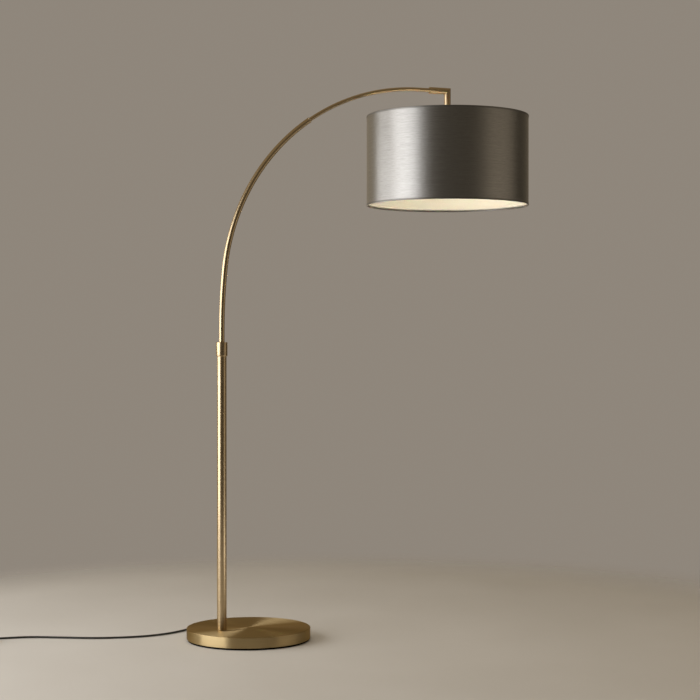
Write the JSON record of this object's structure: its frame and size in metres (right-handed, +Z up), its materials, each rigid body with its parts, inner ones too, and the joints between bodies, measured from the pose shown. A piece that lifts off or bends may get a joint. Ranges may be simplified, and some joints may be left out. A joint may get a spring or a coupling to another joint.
{
  "type": "arc floor lamp",
  "caption": "Floor lamp with a weighted round base, a pole offset on it, a curved brass arm and a drum shade hanging at its end.",
  "frame": {"origin": "centre of the base's underside, on the floor", "axes": "+Z up; +X along the arm, from the pole towards the shade; +Y to the side where the cord leaves the base"},
  "size_m": [1.7091, 0.5573, 1.685],
  "materials": {
    "brass_satin": "satin brushed antique brass plating with a clear lacquer",
    "base_brass": "circular-brushed antique brass, clear lacquer",
    "cast_concrete": "rough cast concrete",
    "zinc_steel": "zinc-plated steel",
    "nylon": "natural moulded nylon",
    "black_rubber": "matt black",
    "black_pvc": "soft black PVC sheath, low sheen",
    "shade_fabric": "pewter metallic woven cloth, satin sheen across a fine horizontal weave",
    "shade_liner": "warm white translucent styrene",
    "shade_trim": "near-black folded tape",
    "wire_white": "off-white coated steel wire",
    "phenolic": "dark brown phenolic moulding",
    "contact_brass": "bare pressed brass",
    "black_plastic": "black moulded plastic",
    "opal_glass": "opal white glass",
    "bulb_cap": "rolled aluminium thread"
  },
  "bodies": {
    "base": {"base_cover": "base_brass", "base_weight": "cast_concrete", "foot_pad": "black_rubber", "anchor_stud": "zinc_steel", "anchor_washer": "zinc_steel", "anchor_nut": "zinc_steel", "cord_bushing": "black_rubber", "base_lead": "black_pvc", "lower_pole": "brass_satin", "pole_foot_plug": "zinc_steel", "pole_top_bush": "nylon", "clamp_collet": "nylon", "mains_cord": "black_pvc", "mains_cord_coil": "black_pvc", "mains_cord_tail": "black_pvc", "plug_body": "black_plastic", "plug_blade_neutral": "contact_brass", "plug_blade_live": "contact_brass"},
    "collar": {"collar": "brass_satin"},
    "glide": {"glide_bush": "nylon"},
    "arm": {"glide_clip_lower": "zinc_steel", "glide_clip_upper": "zinc_steel", "arc_lower_tube": "brass_satin", "arm_ferrule": "brass_satin", "arc_upper_tube": "brass_satin", "sleeve_bush": "contact_brass", "elbow": "brass_satin", "elbow_grub_screw": "zinc_steel", "drop_bush": "zinc_steel", "lamp_nipple": "zinc_steel", "spider_nut": "zinc_steel", "shade_fabric": "shade_fabric", "shade_liner": "shade_liner", "shade_trim_top": "shade_trim", "shade_trim_bottom": "shade_trim", "shade_spider": "wire_white", "shade_hoop_lower": "wire_white", "lampholder_cap": "contact_brass", "lampholder_shell": "contact_brass", "lampholder_block": "phenolic", "lampholder_screw_shell": "contact_brass", "centre_contact": "contact_brass", "bulb_glass": "opal_glass", "bulb_cap": "bulb_cap", "bulb_tip": "phenolic", "arm_lead": "black_pvc"},
    "switch": {"switch_knob": "black_plastic"}
  },
  "joints": [
    {"name": "collar_twist", "type": "hinge", "parent": "base", "child": "collar", "pos_m": [-0.091, -0.0225, 0.869], "axis": [0, 0, 1], "range_deg": [0, 180]},
    {"name": "height_slide", "type": "slide", "parent": "base", "child": "glide", "axis": [0, 0, 1], "range_m": [0, 0.15]},
    {"name": "arm_swivel", "type": "hinge", "parent": "glide", "child": "arm", "pos_m": [-0.091, -0.0225, 0.62], "axis": [0, 0, 1], "range_deg": [-170, 170]},
    {"name": "switch_turn", "type": "hinge", "parent": "arm", "child": "switch", "pos_m": [0.6473, -0.0525, 1.5348], "axis": [0, -1, 0], "continuous": true}
  ]
}
